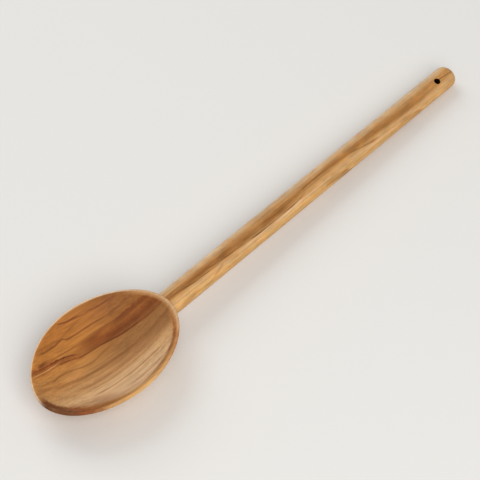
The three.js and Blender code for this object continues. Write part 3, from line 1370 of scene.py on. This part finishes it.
BOWL_GROUND: Stops = (
    (-32, (206, 158, 104)),
    (-22, (228, 186, 142)),
    (-16, (226, 184, 136)),
    (-10, (212, 166, 114)),
    (-5, (192, 142, 90)),
    (0, (184, 132, 78)),
    (5, (189, 132, 72)),
    (10, (193, 130, 66)),
    (16, (192, 126, 60)),
    (24, (188, 120, 56)),
    (34, (190, 128, 66)),
)
WEDGE_EDGE: Path = (
    (-10, 11), (1, 9.7), (5, 9), (9, 8), (13, 6.8), (19, 4.8), (23, 3.7), (27, 2.7), (31, 1.6), (44, -0.4),
)
BOWL_STREAKS: tuple[Streak, ...] = (
    # Painted shade, darker towards the heel across the middle of the hollow.
    Streak(
        ((-8, 6), (5, 5), (20, 2.6), (32, 0), (44, -1)),
        (128, 82, 44), 0.62, Breadth(7, 5, 6, 4), start_fade=24, end_fade=1, ragged=1.2, patchy=0.15,
    ),
    # Painted shade, darker towards the heel on the +Y side.
    Streak(
        ((2, 21), (14, 19.6), (26, 16.8), (38, 12)),
        (136, 82, 36), 0.72, Breadth(4, 6, 4, 4), start_fade=22, end_fade=1, ragged=1.2, patchy=0.2,
    ),
    # Painted shade on the near side towards the tip.
    Streak(
        ((-36, -8), (-28, -13), (-18, -18), (-6, -21.5)),
        (150, 96, 52), 0.5, Breadth(3.5, 2.5, 2, 5), start_fade=8, end_fade=12,
    ),
    Streak(((-37, 3.2), (-28, 3.4), (-18, 4.6), (-8, 5.4)), (212, 148, 84), 0.45, HAZE, start_fade=4),
    Streak(
        ((-43, 14.6), (-36, 15), (-28, 15.4), (-20, 15), (-13, 13.9), (-6, 11.6)),
        (128, 66, 28), 0.6, Breadth(0.8, 0.8, 0.9, 0.9), ragged=1, patchy=0.3,
    ),
    Streak(
        ((-18, 12.2), (-8, 12.4), (2, 12), (12, 11)),
        (164, 102, 48), 0.55, Breadth(1.6, 2, 1.2, 1.6), start_fade=8, end_fade=8,
    ),
    Streak(
        ((-10, 16.4), (0, 15.5), (9, 14.5), (14, 13.6), (19, 12.9), (24, 12.2), (29, 11.2), (34, 9.6),
         (44, 6)),
        (138, 74, 31), 0.7, Breadth(4.2, 0, 2.5, 0.9), start_fade=18, end_fade=1, ragged=0.7, patchy=0.2,
    ),
    Streak(
        WEDGE_EDGE,
        (128, 67, 28), 0.7, Breadth(0, 4.2, 0.35, 3), start_fade=18, end_fade=1, ragged=0.3, patchy=0.15,
    ),
    Streak(
        ((12, 13.3), (16, 12.7), (20, 12.2), (24, 11.5), (28, 10.7), (32, 9.8), (37, 8.4), (44, 6)),
        DARK_BROWN, 0.6, Breadth(0.8, 0.3, 1.4, 0.7), start_fade=10, end_fade=1, ragged=0.6, patchy=0.2,
    ),
    Streak(((8, 9.8), (16, 8.2), (24, 6.2), (32, 4.6), (40, 3.4)), DARK_BROWN, 0.45, BAND, end_fade=1),
    Streak(((4, 13.4), (9, 12.8), (14, 12), (19, 11.2)), (180, 112, 50), 0.4, BAND, ragged=0.6),
    Streak(((-3, 15.7), (1, 15.4), (5, 14.9), (10, 14.5), (15, 13.8)), RED_BROWN, 0.5, LINE, ragged=0.6),
    Streak(
        WEDGE_EDGE,
        (88, 43, 18), 0.7, Breadth(0.05, 0.15, 0.3, 0.8), start_fade=4, end_fade=30, patchy=0.3,
    ),
    Streak(
        ((-24, 15), (-18, 14.6), (-13, 13.4), (-9, 12.3), (-6, 11.4), (-3, 10.2)),
        (160, 92, 44), 0.5, Breadth(0.6, 0.8, 0.6, 0.8), start_fade=8, end_fade=3, ragged=0.8,
    ),
    Streak(
        ((-32, 15.8), (-26, 16), (-20, 15.8), (-14, 15.3), (-9, 13.8), (-5, 11.9)),
        (100, 46, 20), 0.85, Breadth(0.14, 0.16, 0.35, 0.5), ragged=0.6, patchy=0.25,
    ),
    Streak(((-20, 13.9), (-15, 13.4), (-10, 12.2), (-7, 11.3), (-3, 10)), (100, 48, 20), 0.85, HAIRLINE),
    Streak(((-42, 15.2), (-34, 16.2), (-28, 16.6), (-20, 16.4), (-15, 15.8)), (146, 78, 38), 0.65, BAND),
    Streak(((-36, 13.6), (-28, 13.7), (-22, 13.9), (-17, 13.9)), (150, 84, 40), 0.5, LINE),
    Streak(((-37, 14), (-29, 14.5), (-25, 14.5), (-20, 14.4), (-15, 14.7)), (222, 162, 102), 0.7, HAIRLINE),
    Streak(
        ((-29, 16.9), (-26.5, 17.3), (-24, 17.6), (-21, 17.5)),
        (96, 44, 24), 0.8, Breadth(0.3, 0.3, 0.6, 0.8), start_fade=3, end_fade=3,
    ),
    Streak(((-26, 22), (-17, 21.8), (-8, 22.4)), (150, 92, 42), 0.5, BAND),
    Streak(
        ((-30, 18), (-21, 17.7), (-15, 17), (-6, 16.4), (0, 16), (5, 15.5), (9, 14.9), (14, 13.9),
         (20, 13)),
        OLIVE_BROWN, 0.75,
    ),
    Streak(
        ((-26, 21.8), (-19, 21.3), (-13, 21.3), (-8, 21.7), (-6, 20.5), (-1, 20), (8, 19), (16, 17.1),
         (32, 14.4)),
        (130, 78, 34), 0.85, Breadth(0.1, 0.15, 0.35, 0.6),
    ),
    Streak(((-26, 22.6), (-16, 22.8), (-9, 22.3), (-4, 22.8), (1, 23.4), (8, 23.2)), OLIVE_BROWN, 0.5),
    Streak(
        ((-7, 27.4), (-1, 26), (4, 25), (8, 23.8), (12, 23), (17, 21.7), (21, 20.8), (28, 18.2)),
        (124, 64, 34), 0.75, Breadth(0.1, 0.15, 0.4, 0.4), start_fade=3,
    ),
    Streak(
        ((-37, 10), (-30, 9), (-27, 8.6), (-22, 9), (-16, 8.4), (-12, 7.2), (-4, 5.3), (3, 5.8), (12, 6.1)),
        OLIVE_BROWN, 0.75, Breadth(0.2, 0.25, 0.45, 0.8),
    ),
    Streak(((-40, 6), (-35, 7), (-31, 6.6), (-27, 5.7), (-20, 4.6)), (150, 88, 42), 0.65, BAND),
    Streak(
        ((-36, 4.4), (-26, 4.2), (-16, 2.4), (-6, 0.8), (4, -0.7), (14, -2.4), (24, -3.9), (34, -4.6),
         (42, -5)),
        (136, 86, 44), 0.65, Breadth(0.4, 0.4, 0.7, 0.9), start_fade=14, patchy=0.25, ragged=0.6,
    ),
    Streak(((8, 4.6), (16, 3), (26, 1.2), (37, -0.6)), TAN_BROWN, 0.6, HAIRLINE),
    Streak(((10, 3), (20, 1), (30, -1), (40, -2.4)), TAN_BROWN, 0.55, HAIRLINE),
    Streak(((-33, 1.6), (-22, -0.2), (-10, -2.6), (2, -4)), (206, 154, 100), 0.5, BAND),
    Streak(
        ((-26, -1.6), (-19, -2.8), (-11, -4.2), (0, -5.6), (6, -6.2), (14, -7), (22, -7.7), (34, -8.6),
         (42, -9.2)),
        TAN_BROWN, 0.55, BAND, start_fade=10,
    ),
    Streak(((-33, -5.6), (-20, -8.4), (-5, -10.8), (10, -12.4), (24, -13.8)), (222, 184, 136), 0.5, BAND),
    Streak(((-20, -5.6), (-8, -7.4), (4, -8.8), (16, -9.8), (28, -10.8)), (160, 112, 70), 0.5, LINE),
    Streak(
        ((-20, -10), (-10, -11.8), (0, -12.8), (9, -13.8), (16, -14.4), (24, -15.2)),
        PALE_BROWN, 0.65, LINE,
    ),
    Streak(((-15, -15.4), (0, -17.2), (12, -18.6), (22, -19.6)), (230, 194, 150), 0.55, BAND),
    Streak(((-10, -15.2), (2, -16), (9, -16.6), (16, -17), (24, -17.8)), PALE_BROWN, 0.5, HAIRLINE),
    Streak(((-6, -18.6), (4, -19.8), (12, -20.6), (20, -21)), PALE_BROWN, 0.5, LINE),
    Streak(((-16, -8.6), (0, -10.6), (16, -12), (30, -13.2)), PALE_CREAM, 0.4, HAIRLINE),
    Streak(((-14, -12.6), (4, -14.6), (14, -15.5), (24, -16.4)), PALE_CREAM, 0.6, HAIRLINE),
    Streak(((-16, -13.8), (2, -15.2), (14, -16.1), (26, -17)), PALE_BROWN, 0.45, HAIRLINE),
    Streak(((-6, -20.8), (6, -22), (18, -22.4)), (236, 206, 168), 0.6, HAIRLINE),
    Streak(((0, -22.4), (9, -23.2), (18, -23.2)), PALE_BROWN, 0.4, HAIRLINE),
)

HANDLE_GROUND: Stops = (
    (-7.4, (206, 162, 106)),
    (-6.2, (216, 169, 106)),
    (-5.2, (223, 175, 110)),
    (-4.2, (219, 174, 118)),
    (-3, (214, 168, 114)),
    (-1.6, (200, 152, 94)),
    (0.2, (188, 136, 78)),
    (1.8, (186, 135, 80)),
    (3.2, (202, 158, 106)),
    (4.6, (216, 180, 136)),
    # The last, palest stop, on the +Y edge, is partly the wood's pale tone and partly a painted highlight.
    (6.4, (228, 200, 164)),
)
HANDLE_STREAKS: tuple[Streak, ...] = (
    Streak(
        ((-2, 1.2), (10, 0.9), (24, 0.8), (40, 0.2), (56, -0.2), (78, -0.4), (94, 0.2), (104, 1)),
        (146, 90, 38), 0.76, Breadth(0.9, 0.7, 1.3, 1.3), start_fade=2, end_fade=28, wander=0.25,
        ragged=1.1,
    ),
    Streak(
        ((24, 0.6), (38, -1.2), (48, -1.8), (56, -2.4), (65, -2.8), (78, -2.8), (88, -2.6), (94, -1.9),
         (99, -0.6)),
        (112, 64, 28), 0.8, Breadth(0.06, 0.1, 0.25, 0.6), patchy=0.6,
    ),
    Streak(((34, 1.6), (44, 1.9), (54, 1.7), (64, 1.2)), (140, 88, 40), 0.45, BAND, ragged=0.6),
    Streak(
        ((56, 0.9), (66, 0.3), (76, -0.3), (86, 0.1), (96, 0.8)),
        (116, 66, 28), 0.6, HAIRLINE, patchy=0.6,
    ),
    Streak(((14, -3.4), (24, -3.1), (34, -3.4), (44, -4)), (226, 178, 128), 0.5, LINE, patchy=0.6),
    Streak(((120, -2.6), (132, -3), (146, -4.2), (160, -4.4)), (228, 186, 140), 0.5, LINE, patchy=0.6),
    Streak(
        ((0, 0.6), (8, 0.1), (15.5, -0.9), (23, -1.3), (36, -1.8)),
        (116, 68, 30), 0.8, Breadth(0.06, 0.1, 0.25, 0.6),
    ),
    Streak(
        ((92, 0.4), (101, 1), (109, 1.1), (118, 0.9), (129, 0.1), (136, -0.9), (141, -2), (147, -2.9),
         (154, -3.3)),
        (132, 80, 34), 0.65, Breadth(0.1, 0.15, 0.4, 0.9), ragged=0.5,
    ),
    Streak(
        ((104, 1.6), (116, 1.3), (131, 0.8), (156, -0.2), (181, -1.4), (198, -1.7), (214, -1.4)),
        (160, 104, 50), 0.62, Breadth(0.5, 0.6, 1.2, 1.6), start_fade=14, end_fade=32, wander=0.25,
        ragged=1.1,
    ),
    Streak(((150, -0.6), (164, -1.2), (180, -2), (196, -2.4)), (158, 102, 50), 0.35, LINE, ragged=0.6),
    Streak(((92, 2.6), (100, 2.4), (108, 1.8)), (160, 106, 56), 0.5, BAND, ragged=0.8),
    Streak(
        ((42, -3.8), (65, -3.5), (88, -3.5), (98, -3.7), (126, -4.8)),
        (232, 192, 148), 0.6, start_fade=10, end_fade=24, patchy=0.6,
    ),
    Streak(((2, -6.5), (5, -6.1), (14.7, -5), (20, -4)), (176, 116, 64), 0.4, BAND),
    Streak(((22, -6.6), (25.8, -5.4), (32.4, -3.8), (36.5, -2.3)), (164, 104, 56), 0.45, LINE, end_fade=2),
    Streak(((35, -2), (39, -2.6), (42.4, -3.4), (48, -4.6)), (180, 124, 74), 0.45, BAND, start_fade=3),
    Streak(((108, -5), (118, -5.5), (124, -6.1), (129, -7.4), (137, -10)), (148, 98, 50), 0.6, BAND),
    Streak(((168, -4.4), (178, -5.4), (183, -6.2), (188, -7.4), (196, -9.6)), (158, 106, 56), 0.5, BAND),
    Streak(
        ((203, 0.2), (207, 0), (211, -0.4), (217, -1)),
        (116, 70, 34), 0.7, HAIRLINE, start_fade=1, end_fade=1, patchy=0.1,
    ),
)


def bowl_wood(bowl: Bowl) -> OliveWood:
    """The bowl's wood: pale on the near side, orange on the far side, and a dark wedge between them.

    Args:
        bowl: The bowl.

    Returns:
        Its wood.
    """
    return OliveWood(
        name="olive_wood_bowl",
        slot=Slot.BOWL,
        origin=(bowl.middle_x / MM, 0, bowl.height / 2 / MM),
        ground=BOWL_GROUND,
        streaks=BOWL_STREAKS,
        rim=Rim(bowl),
        drift=0.13,
    )


def handle_wood(handle: Handle) -> OliveWood:
    """The handle's wood: golden, with a brown streak along it and painted shade in its hang hole.

    Args:
        handle: The handle.

    Returns:
        Its wood.
    """
    centre = handle.place @ Vector((handle.hole_along, 0, 0)) / MM
    axis = handle.place.to_3x3() @ handle.hole_upright
    return OliveWood(
        name="olive_wood_handle",
        slot=Slot.HANDLE,
        origin=(handle.heel_x / MM, 0, handle.seat / MM),
        ground=HANDLE_GROUND,
        streaks=HANDLE_STREAKS,
        hole=HoleShade(tuple(centre), tuple(axis), handle.hole_diameter / 2 / MM),
        lean=0.35,
        slope=math.tan(handle.droop),
        seed=31,
        ring_depth=0.18,
        fibre_depth=0.22,
        pore_depth=0.34,
        mottle=0.15,
        blush=0.4,
    )


@dataclass(frozen=True)
class Lamp:
    """A soft square lamp that faces the spoon."""

    name: str
    place: Point
    size: float
    watts: float

    def hang(self) -> None:
        """Hangs the lamp in the scene."""
        data = bpy.data.lights.new(self.name, "AREA")
        data.shape = "SQUARE"
        data.size = self.size
        data.energy = self.watts
        made = bpy.data.objects.new(self.name, data)
        made.location = self.place
        made.rotation_euler = (-Vector(self.place)).to_track_quat("-Z", "Y").to_euler()
        bpy.context.scene.collection.objects.link(made)


@dataclass
class Studio:
    """The pale floor, the soft light and the camera at the photograph's angle."""

    eye: Point = (-0.48413, -0.42746, 0.79644)
    ahead: Point = (0.46547, 0.42484, -0.77644)
    lens: float = 153.65
    sensor_width: float = 36
    clip_start: float = 0.01
    clip_end: float = 20
    floor_size: float = 4
    floor_tone: Tone = (236, 234, 230)
    floor_roughness: float = 0.9
    floor_specular: float = 0.1
    sky_strength: float = 0.4
    lamps: tuple[Lamp, ...] = (
        Lamp("key_lamp", (-0.55, -0.95, 1.05), 1.1, 14),
        Lamp("fill_lamp", (0.2, 0.95, 0.9), 1.0, 6),
    )

    def camera(self) -> None:
        """Makes the camera and sets it as the scene's."""
        data = bpy.data.cameras.new("camera")
        data.lens = self.lens
        data.sensor_width = self.sensor_width
        data.clip_start = self.clip_start
        data.clip_end = self.clip_end
        made = bpy.data.objects.new("camera", data)
        made.location = self.eye
        made.rotation_euler = Vector(self.ahead).to_track_quat("-Z", "Y").to_euler()
        bpy.context.scene.collection.objects.link(made)
        bpy.context.scene.camera = made

    def floor(self) -> None:
        """Lays the floor under the spoon."""
        bm = bmesh.new()
        bmesh.ops.create_grid(bm, x_segments=1, y_segments=1, size=self.floor_size)
        made = make_piece(bm, "floor")
        paint = bpy.data.materials.new("pale_floor")
        paint.use_nodes = True
        principled = paint.node_tree.nodes["Principled BSDF"]
        principled.inputs["Base Color"].default_value = linear(self.floor_tone)
        principled.inputs["Roughness"].default_value = self.floor_roughness
        principled.inputs["Specular IOR Level"].default_value = self.floor_specular
        made.data.materials.append(paint)

    def light(self) -> None:
        """Sets up the lamps, the surroundings and the plain view of colours."""
        for lamp in self.lamps:
            lamp.hang()
        world = bpy.data.worlds.new("studio")
        world.use_nodes = True
        shade = world.node_tree.nodes["Background"]
        shade.inputs["Color"].default_value = (1, 1, 1, 1)
        shade.inputs["Strength"].default_value = self.sky_strength
        bpy.context.scene.world = world
        bpy.context.scene.view_settings.view_transform = "Standard"


def report(piece: Piece) -> None:
    """Logs a piece's name and size."""
    sides = [round(side / MM, 1) for side in piece.dimensions]
    LOG.info("%s: %s mm, %d faces", piece.name, sides, len(piece.data.polygons))


def main() -> None:
    """Builds the spoon's pieces in order, dresses them and sets the studio round them."""
    logging.basicConfig(level=logging.INFO, format="%(name)s: %(message)s")
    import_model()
    studio = Studio()
    studio.camera()
    studio.floor()
    studio.light()
    bowl = Bowl()
    handle = Handle()
    shell = bowl.shell()
    surface = BVHTree.FromBMesh(shell)
    shell.free()
    groups = WoodGroups()
    bowl_piece = bowl.build(handle.socket())
    bowl_wood(bowl).dress(bowl_piece, groups)
    report(bowl_piece)
    handle_piece = handle.build(surface)
    handle_wood(handle).dress(handle_piece, groups)
    report(handle_piece)


if __name__ == "__main__":
    main()
